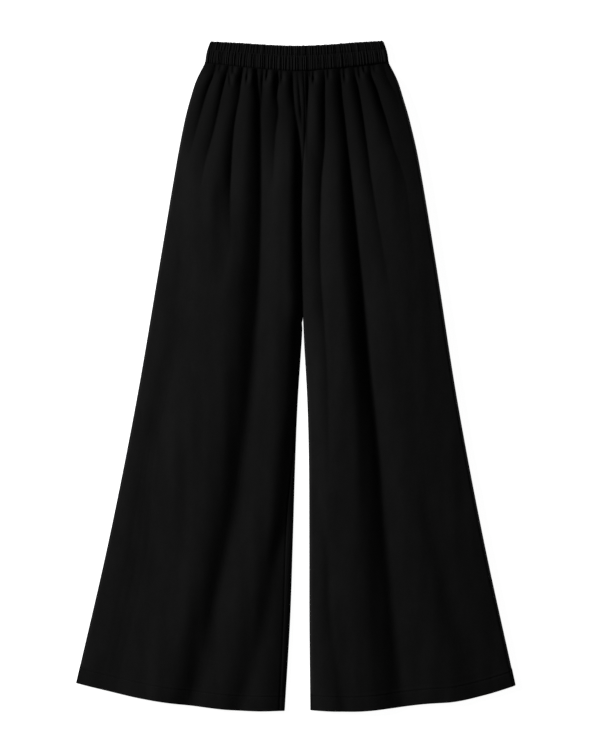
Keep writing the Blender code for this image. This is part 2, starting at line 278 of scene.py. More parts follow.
NARROW, BROAD = 16.0, 30.0  # widths of a fold that counts as quite narrow or quite broad
RISE = 2.7  # widths that the cloth takes to come up again after the foot
STIFF_SHARE, SOFTENS = 0.3, (250.0, 450.0)  # folds get softer down the leg, from where, over
CREST, CREST_WIDTH = 1.4, 0.9  # where the heaped cloth stands before the foot, in widths
ROUNDING = ((-1.0, 0.1), (-0.5, 0.25), (0.0, 0.3), (0.5, 0.25), (1.0, 0.1))  # shift and weight


@dataclass(frozen=True)
class Fold:
    """Cloth that rolls over to the viewer's right, down to a foot, and rises gently after it.

    Attributes:
        rows: the slope's edges at places down the trousers, and the share of the loft it sinks.
        heap: how much higher the cloth stands before it rolls over, in mm.
        soft: how far the foot is rounded off low on the leg, as a share of the slope's width.
    """

    rows: tuple[Crease, ...]
    heap: float = 0.5
    soft: float = 0.12

    def turns(self, x: Array, down: Array) -> tuple[Array, Array]:
        """Places a point on the fold.

        Args:
            x: across the trousers.
            down: distance down.

        Returns:
            Distance to the right of the foot, in widths of the fold, and how broad the fold
            is, from 0 to 1: a narrow one falls more and more steeply to its foot.
        """
        left = column_curve(self.rows, "left").at(down)
        right = column_curve(self.rows, "right").at(down)
        width = right - left
        broad = smooth((width - NARROW) / (BROAD - NARROW))
        return (x - right) / (width * (1.2 - 0.2 * broad)) + 0.05 - 0.08 * broad, broad

    def depth(self, down: Array) -> Array:
        """Share of the loft that the fold sinks by."""
        return np.maximum(column_curve(self.rows, "depth").at(down), 0)

    def sink(self, x: Array, down: Array) -> Array:
        """Finds what the fold takes from the height of the cloth.

        Args:
            x: across the trousers.
            down: distance down.

        Returns:
            Share of the loft that is lost there.
        """
        turns, broad = self.turns(x, down)
        limp = ramp(down, SOFTENS)
        soft = self.soft * (STIFF_SHARE + (1 - STIFF_SHARE) * limp)
        total = np.zeros(turns.shape)
        for shift, weight in ROUNDING:
            at = turns + shift * soft
            fall = np.clip(1 + at / (1.05 + 0.15 * broad), 0, 1) ** (1.9 - 0.2 * broad)
            rise = np.clip(1 - at / RISE, 0, 1) ** 2
            total = total + weight * np.where(at < 0, fall, rise)
        return self.depth(down) * total

    def swell(self, x: Array, down: Array) -> Array:
        """Extra height of the cloth that is heaped before the fold."""
        return self.heap * self.depth(down) * bell((self.turns(x, down)[0] + CREST) / CREST_WIDTH)


def fold(*rows: tuple[float, float, float, float], **sizes: float) -> Fold:
    """Makes a fold of plain rows."""
    return Fold(table(Crease, *rows), **sizes)


FRONT_FOLDS: dict[str, Fold] = {
    "right_side": fold(
        (34, -131, -121, 1), (54, -137, -127, 1), (75, -148, -135, 1), (110, -163, -145, 0.9),
        (150, -173, -156, 0.45), (190, -182, -166, 0), heap=1,
    ),
    "right_second": fold(
        (34, -110, -101, 0.9), (54, -116, -107, 0.95), (85, -129, -114, 0.95),
        (110, -136, -119, 0.95), (145, -147, -127, 0.75), (190, -155, -139, 0.35),
        (240, -163, -148, 0), heap=1.1,
    ),
    "right_third": fold(
        (34, -88, -79, 0.9), (54, -92, -83, 0.95), (85, -102, -86, 0.95), (125, -110, -93, 0.95),
        (165, -117, -97, 0.85), (220, -121, -100, 0.72), (260, -130, -102, 0.52),
        (310, -141, -102, 0.3), (380, -147, -116, 0), heap=1.2,
    ),
    "right_leg_crease": fold(
        (34, -66, -59, 0.95), (60, -68, -60, 0.95), (78, -70, -58, 0.95), (100, -71, -55.5, 0.95),
        (190, -76, -54, 0.95), (310, -82, -55, 0.9), (420, -90, -60, 0.8), (560, -103, -72, 0.82),
        (640, -112, -82, 0.8), (720, -123, -93, 0.77), (880, -156, -127, 0.73),
        (960, -179, -142, 0.75), (1045, -205, -168, 0.79), heap=2.4, soft=0.34,
    ),
    "right_crease_second": fold(
        (34, -54, -49, 0.7), (60, -57, -51, 0.95), (78, -58, -51.5, 0.9), (95, -58, -52.5, 0.5),
        (115, -58, -53.5, 0),
    ),
    "right_short": fold(
        (34, -36, -26, 0.9), (60, -37, -27, 0.95), (85, -44, -28, 0.95), (110, -47, -26, 0.92),
        (145, -48, -30, 0.72), (190, -46, -33, 0.35), (230, -46, -35, 0), heap=0.9,
    ),
    "centre": fold(
        (34, -14, -4, 0.9), (66, -14, -4, 0.9), (85, -13, -3, 0.95), (110, -12, 0, 0.95),
        (145, -9, 5, 0.95), (190, -7, 8, 0.95), (260, -8, 8, 0.95), (360, -9, 10, 0.9),
        (420, -7, 11, 0.8), (560, -10, 4, 0.6), (640, -21, 0, 0.6), (720, -35, -7, 0.62),
        (800, -53, -29, 0.62), (880, -71, -42, 0.58), (1045, -122, -90, 0.6), heap=1.2, soft=0.34,
    ),
    "centre_second": fold(
        (34, -1, 4, 0.35), (54, -1, 4, 0.4), (66, 0, 5, 0.5), (80, 0.5, 6, 0.7), (95, 1.5, 7, 0.8),
        (112, 3, 8.5, 0.85), (140, 5, 10, 0),
    ),
    "centre_short": fold(
        (34, 10, 19, 0.9), (60, 9, 20, 0.9), (85, 10, 19, 0.95), (110, 9.5, 18.5, 0.95),
        (145, 10, 18, 0.66), (185, 11, 18, 0), heap=0.9,
    ),
    "left_inner": fold(
        (34, 35, 45, 0.9), (60, 34, 46, 0.95), (85, 30, 46, 0.95), (125, 27, 46, 0.95),
        (165, 21, 45, 0.95), (220, 21, 41, 0.82), (310, 20, 39, 0.7), (360, 22, 40, 0.56),
        (420, 27, 44, 0.45), (520, 34, 50, 0.24), (620, 38, 52, 0.15), (700, 38, 52, 0), heap=0.9,
    ),
    "left_leg_crease": fold(
        (34, 58, 69, 0.95), (85, 59, 72, 0.95), (125, 61, 77, 0.95), (190, 66, 84, 0.95),
        (260, 69, 91, 0.95), (360, 76, 101, 0.95), (480, 88, 112, 0.95), (640, 99, 128, 0.9),
        (800, 107, 141, 0.88), (950, 116, 156, 0.82), (1045, 127, 168, 0.76), heap=2.2, soft=0.18,
    ),
    "left_third": fold(
        (34, 80, 91, 0.9), (54, 82, 93, 0.95), (75, 83, 98, 0.95), (110, 88, 104, 0.9),
        (165, 93, 112, 0.82), (220, 99, 119, 0.66), (310, 103, 132, 0.42), (360, 108, 141, 0.3),
        (430, 118, 150, 0),
    ),
    "left_second": fold(
        (34, 106, 116, 0.9), (54, 108, 118, 0.95), (75, 113, 126, 0.9), (95, 119, 132, 0.8),
        (125, 127, 142, 0.62), (165, 135, 153, 0.4), (220, 146, 170, 0.2), (310, 158, 181, 0.12),
        (380, 166, 190, 0),
    ),
    "left_side": fold(
        (34, 127, 136, 0.6), (60, 132, 144, 0.42), (85, 143, 157, 0.16), (120, 150, 165, 0),
    ),
    "right_outer": fold(
        (260, -190, -170, 0), (360, -204, -180, 0.4), (480, -225, -191, 0.5),
        (640, -256, -227, 0.7), (800, -300, -247, 0.85), (1045, -345, -302, 0.7),
        heap=0.2, soft=0.5,
    ),
    "left_outer": fold(
        (400, 120, 148, 0), (480, 132, 162, 0.25), (640, 157, 195, 0.3), (720, 180, 204, 0.35),
        (880, 212, 240, 0.45), (1045, 250, 288, 0.4), heap=0.2, soft=0.5,
    ),
    "left_near_inseam": fold(
        (700, 18, 36, 0), (800, 31, 50, 0.38), (880, 35, 53, 0.36), (960, 42, 63, 0.28),
        (1045, 50, 75, 0.22), heap=0.1, soft=0.2,
    ),
}


class Tick(NamedTuple):
    """A short pinch of cloth that the waist seam gathers: where, how far it runs, how deep."""

    x: float
    drift: float
    reach: float
    depth: float


TICKS: tuple[Tick, ...] = table(
    Tick,
    (-123.5, -2, 13, 0.95), (-116.5, -3, 14, 0.95), (-104, 3, 38, 0.70), (-97, -1, 16, 1),
    (-81, -2, 15, 0.90), (-74, -3, 32, 0.95), (-43.5, -3, 24, 0.95), (-21.5, -1, 26, 0.90),
    (22, 1, 13, 0.80), (27.5, 0, 24, 1), (50.5, 0, 20, 1), (75, 1.5, 28, 0.95), (97.5, 3, 26, 1),
    (104.5, 3, 14, 0.80), (121, 3, 16, 0.60),
)

# Twelve gathers at the waist, then a crease and a shallow fold low on each leg.
BACK_FOLDS = (
    fold((34, -130, -122, 0.7), (112, -147.6, -136.4, 0.7), (190, -167.2, -152.8, 0)),
    fold((34, -108.8, -99.2, 0.9), (167, -127.4, -114.6, 0.8), (300, -148, -132, 0)),
    fold((34, -86, -78, 0.8), (132, -97.6, -86.4, 0.8), (230, -113.2, -98.8, 0)),
    fold((34, -63.6, -52.4, 1), (227, -81.2, -66.8, 0.9), (420, -99.6, -80.4, 0)),
    fold((34, -40, -32, 0.8), (122, -46.6, -35.4, 0.7), (210, -53.4, -40.6, 0)),
    fold((34, -16.8, -7.2, 0.9), (182, -15.6, -4.4, 0.8), (330, -15.2, -0.8, 0)),
    fold((34, 12, 20, 0.7), (107, 14.2, 23.8, 0.7), (180, 17.6, 30.4, 0)),
    fold((34, 33.2, 42.8, 0.9), (192, 39.6, 52.4, 0.9), (350, 50, 66, 0)),
    fold((34, 58, 66, 0.8), (117, 66.4, 77.6, 0.7), (200, 77.6, 90.4, 0)),
    fold((34, 80.4, 91.6, 1), (217, 99.8, 114.2, 0.9), (400, 118.4, 137.6, 0)),
    fold((34, 104, 112, 0.8), (137, 123.4, 134.6, 0.8), (240, 144.8, 159.2, 0)),
    fold((34, 126, 134, 0.6), (92, 141.2, 150.8, 0.6), (150, 156.6, 169.4, 0)),
    fold((200, -103.2, -80.8, 0), (675, -137.8, -112.2, 0.6), (1045, -200.4, -171.6, 0.5)),
    fold((480, -43.6, -24.4, 0), (815, -71.2, -48.8, 0.45), (1045, -116.8, -91.2, 0.4)),
    fold((200, 88.8, 111.2, 0), (675, 119.2, 144.8, 0.6), (1045, 175.6, 204.4, 0.5)),
    fold((480, 46.4, 65.6, 0), (815, 61.8, 84.2, 0.45), (1045, 97.2, 122.8, 0.4)),
)


class LoftRow(NamedTuple):
    """How far the cloth stands up at a place down the trousers."""

    down: float
    front: float
    edge: float
    back: float


class Spot(NamedTuple):
    """Places on a leg: X, the distance down, and the distance to the hem's edge."""

    side: Side
    x: Array
    down: Array
    to_hem: Array


@dataclass
class Drape:
    """How the cloth lies: the level of the front's face and of the back's face.

    Attributes:
        outline: the edges of the trousers.
        cloth: thickness of one layer.
        loft: height of the front between its folds, how far in from the outline it gets there,
            and the most that the gathers of the back lift it off the surface.
        layer_gap: clearance between two layers.
        hem_depth: how much is turned up.
        hem_ridge: height and half width of the ridge over the turned-up cloth's edge.
        stitch_up: how far over the hem's edge its stitches run.
        stitch_dent: depth and half width of the dent they pull.
        centre_dent: the same for the seam from the waist to the crotch.
        inseam_dent: the same for the right leg's inseam, which shows on the front.
        edge_roundness: how far in from the outline the cloth is visibly round.
        outer_lift: share of the height that is reached within the outer edge's own roundness.
        inner_lift: the same at the inner edge.
        tick_half_width: how wide the short pinches under the waist seam are.
        tick_slopes: how much steeper such a pinch is on its left, and gentler on its right.
        inner_width: how far in the inner edge's slow rise goes, as a share of the outer one's.
        parts_over: over what length round the crotch the legs' inner edges come apart.
        unevenness: share by which the loft wanders.
        streak_height: how far the faint lengthwise streaks stand up.
        streaks_from: from how far down the streaks begin, and over what length.
        seam_lift: how far below the waist seam the back is lifted whole, and how it comes down.
        gathers_from: from how far down the back's gathers open, and over what length.
        slack: how much of the back's lift its own weight takes.
        hem_ease: how softly the cloth bends over what is turned up, in square millimetres.
        hem_fade: over what length the turned-up cloth stops holding the face up.
        inseam_from: how far below the crotch the inseam's dent begins, and over what length.
    """

    outline: Outline
    cloth: float = 1.0
    layer_gap: float = 0.2
    hem_depth: float = 25.0
    stitch_up: float = 22.0
    hem_ridge: tuple[float, float] = (0.2, 1.6)
    stitch_dent: tuple[float, float] = (0.3, 1.2)
    centre_dent: tuple[float, float] = (0.7, 1.5)
    inseam_dent: tuple[float, float] = (0.45, 1.2)
    edge_roundness: float = 5.0
    outer_lift: dict[Side, float] = field(
        default_factory=lambda: {Side.RIGHT: 0.12, Side.LEFT: 0.7}
    )
    inner_lift: dict[Side, float] = field(
        default_factory=lambda: {Side.RIGHT: 0.22, Side.LEFT: 0.25}
    )
    tick_half_width: float = 2.2
    tick_slopes: tuple[float, float] = (1.3, 0.55)
    unevenness: float = 0.018
    streak_height: float = 0.09
    inner_width: float = 0.45
    parts_over: float = 60.0
    streaks_from: tuple[float, float] = (70.0, 120.0)
    seam_lift: tuple[float, float] = (14.0, 20.0)
    gathers_from: tuple[float, float] = (36.0, 40.0)
    slack: float = 0.06
    hem_ease: float = 0.6
    hem_fade: float = 5.0
    inseam_from: tuple[float, float] = (150.0, 60.0)
    loft: tuple[LoftRow, ...] = table(
        LoftRow,
        (34, 2.7, 32, 0.9), (48, 3.2, 34, 1.1), (54, 4.8, 36, 1.8), (66, 6.6, 42, 3.2),
        (90, 7.6, 54, 4), (200, 8.3, 80, 3.6), (330, 8.2, 92, 2.4), (560, 8.2, 94, 1.2),
        (780, 8, 92, 1), (1045, 7.4, 90, 0.8),
    )

    def __post_init__(self) -> None:
        """Turns the table to curves."""
        self.front_loft = column_curve(self.loft, "front")
        self.edge_width = column_curve(self.loft, "edge")
        self.back_loft = column_curve(self.loft, "back")

    @property
    def edge_level(self) -> float:
        """Level of the front's face at the outline, over two layers of cloth."""
        return 2 * self.cloth + self.layer_gap

    @property
    def fold_radius(self) -> float:
        """Radius of the hem's turn, on the face of the cloth."""
        return self.cloth + 0.5 * self.layer_gap

    def edge_share(self, spot: Spot) -> Array:
        """Finds how much of its full height the cloth reaches near the outline.

        Args:
            spot: places on a leg.

        Returns:
            0 at the outline, and 1 well inside it.
        """
        side, x, down, _ = spot
        width = self.edge_width.at(down)
        from_side = np.abs(self.outline.side_x(side, down) - x)
        from_inner = np.abs(self.outline.inner_x(side, down) - x)
        parted = smooth((down - self.outline.crotch) / self.parts_over + 0.5)
        inner = self.rounded(from_inner, self.inner_width * width, self.inner_lift[side])
        outer = self.rounded(from_side, width, self.outer_lift[side])
        return outer * (1 - parted * (1 - inner))

    def rounded(self, inward: Array, width: Array, lift: float) -> Array:
        """Makes a quick rise over the edge's own roundness, then a slow one.

        Args:
            inward: distance in from the edge.
            width: how far the slow rise reaches.
            lift: share of the height that the quick one takes.

        Returns:
            0 at the edge to 1 inside.
        """
        quick = np.sin(0.5 * math.pi * np.clip(inward / self.edge_roundness, 0, 1))
        slow = np.sin(0.5 * math.pi * np.clip(inward / width, 0, 1))
        return lift * quick + (1 - lift) * slow

    def front_relief(self, spot: Spot) -> Array:
        """Adds up the front's folds, pinches and streaks.

        Args:
            spot: places on a leg.

        Returns:
            Their height, in millimetres.
        """
        _, x, down, _ = spot
        standing = np.ones(x.shape)
        heaped = np.zeros(x.shape)
        for one in FRONT_FOLDS.values():
            standing = standing * (1 - one.sink(x, down))
            heaped = heaped + one.swell(x, down)
        below = down - self.outline.waist_down(x)
        steep, gentle = self.tick_slopes
        for tick in TICKS:
            share = np.clip(below / tick.reach, 0, 1)
            offset = (x - tick.x - tick.drift * share) / self.tick_half_width
            offset = np.where(offset < 0, steep * offset, gentle * offset)
            standing = standing * (1 - tick.depth * smooth(1.6 * (1 - share)) * bell(offset))
        uneven = 1 + self.unevenness * ripple(5, 5, x / 38, down / 420)
        loft = self.front_loft.at(down) * uneven
        streaks = self.streak_height * ripple(11, 7, x / 46, down / 380)
        streaks = streaks * ramp(down, self.streaks_from)
        return (loft * standing + heaped + streaks) * self.edge_share(spot)

    def front_level(self, spot: Spot) -> Array:
        """Level of the front's face over the surface, before the hem is sewn."""
        ceiling = self.back_loft.at(spot.down) * self.edge_share(spot)
        return self.edge_level + ceiling + self.front_relief(spot)

    def back_level(self, spot: Spot) -> Array:
        """Finds the back's face, before the hem is sewn.

        Args:
            spot: places on a leg.

        Returns:
            Its level over the surface.
        """
        _, x, down, _ = spot
        reach, fade = self.seam_lift
        lift = smooth((self.outline.waist_down(x) + reach - down) / fade)
        bloom = ramp(down, self.gathers_from)
        for one in BACK_FOLDS:
            lift = np.maximum(lift, bloom * one.sink(x, down))
        lift = lift * self.back_loft.at(down) * self.edge_share(spot)
        return np.maximum(lift - self.slack, 0.0)

    def with_hem(self, level: Array, lowest: float, to_hem: Array) -> Array:
        """Lifts a face clear of its turned-up hem, with the dent of its stitches.

        Args:
            level: level of the face.
            lowest: the level that it needs over the turned-up cloth.
            to_hem: distance to the hem's edge.

        Returns:
            The level with the hem in it.
        """
        turned = smooth((self.hem_depth + self.hem_fade - to_hem) / self.hem_fade)
        over = level - lowest
        lifted = lowest + 0.5 * (over + np.sqrt(over**2 + self.hem_ease))
        ridge = dip(to_hem - self.hem_depth, self.hem_ridge)
        dent = dip(to_hem - self.stitch_up, self.stitch_dent)
        return level * (1 - turned) + lifted * turned + ridge - dent

    def top_face(self, spot: Spot) -> Array:
        """Finds the upper face, with its hem and the dents of its sewn lines.

        Args:
            spot: places on a leg.

        Returns:
            Its level over the surface.
        """
        side, x, down, to_hem = spot
        sewn_layers = 4 * self.fold_radius + self.layer_gap
        level = self.with_hem(self.front_level(spot), sewn_layers, to_hem)
        above, inner = down <= self.outline.crotch, self.outline.inner_x(side, down)
        level = level - np.where(above, dip(x - inner, self.centre_dent), 0)
        if side is Side.RIGHT:
            seam = inner - self.outline.roll_curve.at(down)
            rolled = ramp(down - self.outline.crotch, self.inseam_from)
            level = level - rolled * dip(x - seam, self.inseam_dent)
        return level

    def under_face(self, spot: Spot) -> Array:
        """Level of the lower face, which lies on the surface, with the dent of its stitches."""
        return self.back_level(spot) + dip(spot.to_hem - self.stitch_up, self.stitch_dent)


# ---- Meshes ----


def only(piece: bpy.types.Object) -> None:
    """Makes one piece the selected and active object.

    Args:
        piece: the piece.
    """
    bpy.ops.object.select_all(action="DESELECT")
    piece.select_set(True)
    bpy.context.view_layer.objects.active = piece


def grid_of(
    name: str, columns: int, rows: int, form: Callable[..., tuple[Array, Array]]
) -> bpy.types.Object:
    """Adds a grid and shapes it.

    Args:
        name: name of the piece.
        columns: faces across.
        rows: faces along.
        form: takes each point's column and row, and gives its place in millimetres and the
            place of its cloth in the flat cut.

    Returns:
        The piece, with a UV map in metres of cloth.
    """
    bpy.ops.object.select_all(action="DESELECT")
    bpy.ops.mesh.primitive_grid_add(x_subdivisions=columns, y_subdivisions=rows, size=1)
    piece = bpy.context.object
    piece.name = name
    mesh = piece.data
    mesh.name = name
    flat = np.empty(len(mesh.vertices) * 3)
    mesh.vertices.foreach_get("co", flat)
    flat = flat.reshape(-1, 3)
    column = np.rint((flat[:, 0] + 0.5) * columns).astype(int)
    row = np.rint((0.5 - flat[:, 1]) * rows).astype(int)
    points, cut = form(column, row)
    mesh.vertices.foreach_set("co", (points * MM).ravel())
    corners = np.empty(len(mesh.loops), dtype=int)
    mesh.loops.foreach_get("vertex_index", corners)
    mesh.uv_layers[0].data.foreach_set("uv", (cut[corners] * MM).ravel())
    mesh.update()
    return piece


def thicken(piece: bpy.types.Object, thickness: float) -> None:
    """Gives a face of cloth its wall.

    Args:
        piece: the face, with its normals outwards.
        thickness: how far the wall goes inwards, in millimetres.
    """
    only(piece)
    wall = piece.modifiers.new("wall", "SOLIDIFY")
    wall.thickness = thickness * MM
    wall.offset = -1
    wall.use_even_offset = False
    bpy.ops.object.modifier_apply(modifier=wall.name)


def finish_mesh(piece: bpy.types.Object, sharp_degrees: float = 60.0) -> None:
    """Shades a piece smooth except at its rims."""
    only(piece)
    bpy.ops.object.shade_smooth_by_angle(angle=math.radians(sharp_degrees))


# ---- Leg panels ----


@dataclass
class LegPanel:
    """A front or back leg, from the waist seam to its turned-up hem.

    Attributes:
        face: front or back.
        side: the wearer's side.
        outline: the edges of the trousers.
        drape: how the cloth lies.
        columns: faces across.
        steps: places down the panel where the rows change their spacing, with the spacing.
        cut_top: width of the cut at the waist, before it is gathered.
        cut_hem: width of the cut at the hem.
        roll_share: share of the cut's width that goes round the right leg's inner edge.
        bend_share: share of that which is the bend itself.
        seam_lap: how far the legs lap at the centre seam.
        tuck_reach: how far the panel reaches up under the waistband.
        tuck_levels: the front's level and the back's level there.
        turn_columns: faces round the inner edge.
        turn_room: space between the back panel's flat part and that edge.
        parts_over: how far below the crotch the inner edges have come into shape.
        even_hem: how far over the hem the rows run parallel to it, and over what length they
            turn to run like the waist seam.
        lay_rounds: how often a place is worked out anew, as its hem and seam depend on it.
        curl_rows: faces round the turn of the hem.
        turn_up_rows: faces along the turned-up cloth.
        hem_width_at: how far down the hem's width is taken, to count its stitches.
        stitch_short: how much shorter than that the line of stitches is.
        stitch_margin: share of the width that is left without stitches at each end.
        stitch_proud: how far the thread's middle stands off the face.
    """

    face: Face
    side: Side
    outline: Outline
    drape: Drape
    columns: int
    steps: Steps
    cut_top: float = 232.0
    cut_hem: float = 366.0
    roll_share: float = 0.03
    bend_share: float = 0.6
    seam_lap: float = 0.12
    tuck_reach: float = 1.4
    tuck_levels: tuple[float, float] = (4.9, 2.9)
    turn_columns: int = 16
    turn_room: float = 2.6
    parts_over: float = 18.0
    even_hem: tuple[float, float] = (40.0, 400.0)
    lay_rounds: int = 4
    curl_rows: int = 6
    turn_up_rows: int = 5
    hem_width_at: float = 1000.0
    stitch_short: float = 20.0
    stitch_margin: float = 0.004
    stitch_proud: float = 0.12

    def __post_init__(self) -> None:
        """Lays out the rows: flat ones, the curl of the hem and the turned-up cloth."""
        outline, radius = self.outline, self.drape.fold_radius
        self.long_side = outline.length - outline.waist_seam
        falls, place = [], 0.0
        for until, step in self.steps:
            count = max(int(round((until - place) / step)), 1)
            falls += list(np.linspace(place, until, count, endpoint=False))
            place = until
        bottom = self.long_side - radius
        near_hem = np.linspace(place, bottom, int(bottom - place) + 1)
        falls = np.concatenate([falls, near_hem])
        curl = np.linspace(0, math.pi, self.curl_rows + 1)[1:]
        back_up = np.linspace(0, self.drape.hem_depth, self.turn_up_rows + 1)[1:]
        self.fall = np.concatenate([falls, np.full(len(curl), bottom), bottom - back_up])
        self.angle = np.concatenate(
            [np.zeros(len(falls)), curl, np.full(len(back_up), math.pi)]
        )
        self.rows = len(self.fall) - 1

    @property
    def node(self) -> str:
        """Name of the CAD solid that this panel stands for."""
        return f"{self.face.value}_leg_{self.side.value}"

    def face_level(self, spot: Spot) -> Array:
        """Level of the panel's own face over the surface."""
        drape = self.drape
        return (drape.top_face if self.face is Face.FRONT else drape.under_face)(spot)

    @property
    def cut_length(self) -> float:
        """Length of the flat cut, with what is turned up."""
        return self.long_side + self.drape.hem_depth

    @property
    def cut_area(self) -> float:
        """Area of the flat cut, in square millimetres."""
        return 0.5 * (self.cut_top + self.cut_hem) * self.cut_length

    @property
    def has_roll(self) -> bool:
        """True for the right back panel, which comes round the inner edge of its leg."""
        return self.face is Face.BACK and self.side is Side.RIGHT

    def leg_edge(self, down: Array) -> Array:
        """Finds the leg's inner edge, where the two legs lap a little at the centre seam.

        Args:
            down: distance down.

        Returns:
            Its X.
        """
        lap = self.seam_lap if self.side is Side.RIGHT else -self.seam_lap
        joined = smooth((self.outline.crotch + 6 - down) / 12)
        return self.outline.inner_x(self.side, down) + lap * joined

    def roll_width(self, down: Array) -> Array:
        """How far the right back panel comes onto the front, past the leg's inner edge."""
        return np.maximum(self.outline.roll_curve.at(down), self.turn_room + 0.3)

    def inner_edge(self, down: Array) -> Array:
        """Finds the panel's inner edge, short of what goes round the leg's inner edge.

        Args:
            down: distance down.

        Returns:
            Its X.
        """
        edge = self.leg_edge(down)
        if self.side is Side.LEFT:
            return edge
        if self.face is Face.BACK:
            return edge - self.turn_room
        below = smooth((down - self.outline.crotch) / self.parts_over)
        return edge - below * self.roll_width(down)

    def lay(self, across: Array, fall: Array) -> Spot:
        """Finds where a share of the width and a distance from the waist seam lie.

        Args:
            across: 0 at the side seam, 1 at the inner edge.
            fall: distance down the longest line of the panel.

        Returns:
            The places.
        """
        hem = self.outline.hem_curves[self.side].at(across)
        left = self.long_side - fall
        down = hem - left
        for _ in range(self.lay_rounds):
            x = mixed(self.outline.side_x(self.side, down), self.inner_edge(down), across)
            seam = self.outline.waist_down(x)
            stretch = (hem - seam) / self.long_side
            to_hem = left * (1 + (stretch - 1) * ramp(left, self.even_hem))
            down = hem - to_hem
        return Spot(self.side, x, down, to_hem)

    def turned(self, turn: Array, spot: Spot) -> tuple[Array, Array, Array, Array]:
        """Takes the right back panel round the inner edge and along the top to its seam.

        Args:
            turn: 0 at the flat part's end to 1 at the seam.
            spot: places on the flat part's end.

        Returns:
            X and level of the face, and the direction into the cloth, as X and Z.
        """
        x, down, drape = spot.x, spot.down, self.drape
        edge = self.leg_edge(down)
        top = drape.top_face(spot._replace(x=np.minimum(x, edge - 0.4)))
        low = drape.under_face(spot)
        middle, half = 0.5 * (top + low), 0.5 * (top - low)
        angle = math.pi * (np.clip(turn / self.bend_share, 0, 1) - 0.5)
        seam_x = edge - self.roll_width(down) - self.seam_lap
        run = np.clip((turn - self.bend_share) / (1 - self.bend_share), 0, 1)
        on_run = run > 0
        round_x = np.where(on_run, x + (seam_x - x) * run, x + (edge - x) * np.cos(angle))
        on_top = drape.top_face(spot._replace(x=round_x))
        round_z = np.where(on_run, on_top, middle + half * np.sin(angle))
        into_x = np.where(on_run, 0, -np.cos(angle))
        into_z = np.where(on_run, -1, -np.sin(angle))
        closed = smooth((down - self.outline.crotch) / self.parts_over)
        flat_x = x + (edge - x) * turn
        flat_z = drape.under_face(spot._replace(x=flat_x))
        return (
            flat_x + (round_x - flat_x) * closed,
            flat_z + (round_z - flat_z) * closed,
            into_x * closed,
            1 + (into_z - 1) * closed,
        )

    def form(self, column: Array, row: Array) -> tuple[Array, Array]:
        """Places every point of the panel's face.

        Args:
            column: the points' columns, from the side seam.
            row: their rows, from the waist.

        Returns:
            Places in millimetres, and places in the flat cut.
        """
        flat_columns = self.columns - (self.turn_columns if self.has_roll else 0)
        across = np.clip(column / flat_columns, 0, 1)
        spot = self.lay(across, self.fall[row])
        x, z, share = spot.x, self.face_level(spot), across
        into_x = np.zeros(x.shape)
        into_z = np.full(x.shape, -1.0 if self.face is Face.FRONT else 1.0)
        if self.has_roll:
            turn = np.clip((column - flat_columns) / self.turn_columns, 0, 1)
            rolled = self.turned(turn, spot)
            on_turn = column > flat_columns
            x = np.where(on_turn, rolled[0], x)
            z = np.where(on_turn, rolled[1], z)
            into_x = np.where(on_turn, rolled[2], into_x)
            into_z = np.where(on_turn, rolled[3], into_z)
            share = across * (1 - self.roll_share) + turn * self.roll_share
        tucked = smooth(1 - self.fall[row] / self.tuck_reach)
        down = spot.down - self.tuck_reach * tucked
        z = z + (self.tuck_levels[0 if self.face is Face.FRONT else 1] - z) * tucked
        radius, angle = self.drape.fold_radius, self.angle[row]
        depth = radius * (1 - np.cos(angle))
        y = 0.5 * self.outline.length - (down + radius * np.sin(angle))
        points = np.stack([x + into_x * depth, y, z + into_z * depth], axis=1)
        fall = self.fall[row] + np.where(angle > 0, self.long_side - self.fall[row], 0)
        width = self.cut_top + (self.cut_hem - self.cut_top) * fall / self.long_side
        cut = np.stack([(share - 0.5) * width, -fall], axis=1)
        return points, cut

    def build(self) -> bpy.types.Object:
        """Makes the panel: the face of the cloth, turned up at the hem, with its wall.

        Returns:
            The piece.
        """
        piece = grid_of(f"{self.node}_cloth", self.columns, self.rows, self.form)
        outward_up = self.face is Face.FRONT
        if (self.side is Side.RIGHT) != outward_up:
            piece.data.flip_normals()
        thicken(piece, self.drape.cloth)
        finish_mesh(piece)
        return piece

    def hem_line(self, spacing: float) -> Array:
        """Follows the hem's sewn line, on the face of the cloth.

        Args:
            spacing: from one stitch to the next.

        Returns:
            Points, one where each stitch starts.
        """
        at_hem = self.outline.side_x(self.side, np.float64(self.hem_width_at))
        count = int((abs(float(at_hem)) - self.stitch_short) / spacing)
        across = np.linspace(self.stitch_margin, 1 - self.stitch_margin, count)
        spot = self.lay(across, np.full(count, self.long_side - self.drape.stitch_up))
        proud = self.stitch_proud if self.face is Face.FRONT else -self.stitch_proud
        y = 0.5 * self.outline.length - spot.down
        return np.stack([spot.x, y, self.face_level(spot) + proud], axis=1)


# ---- Waistband ----


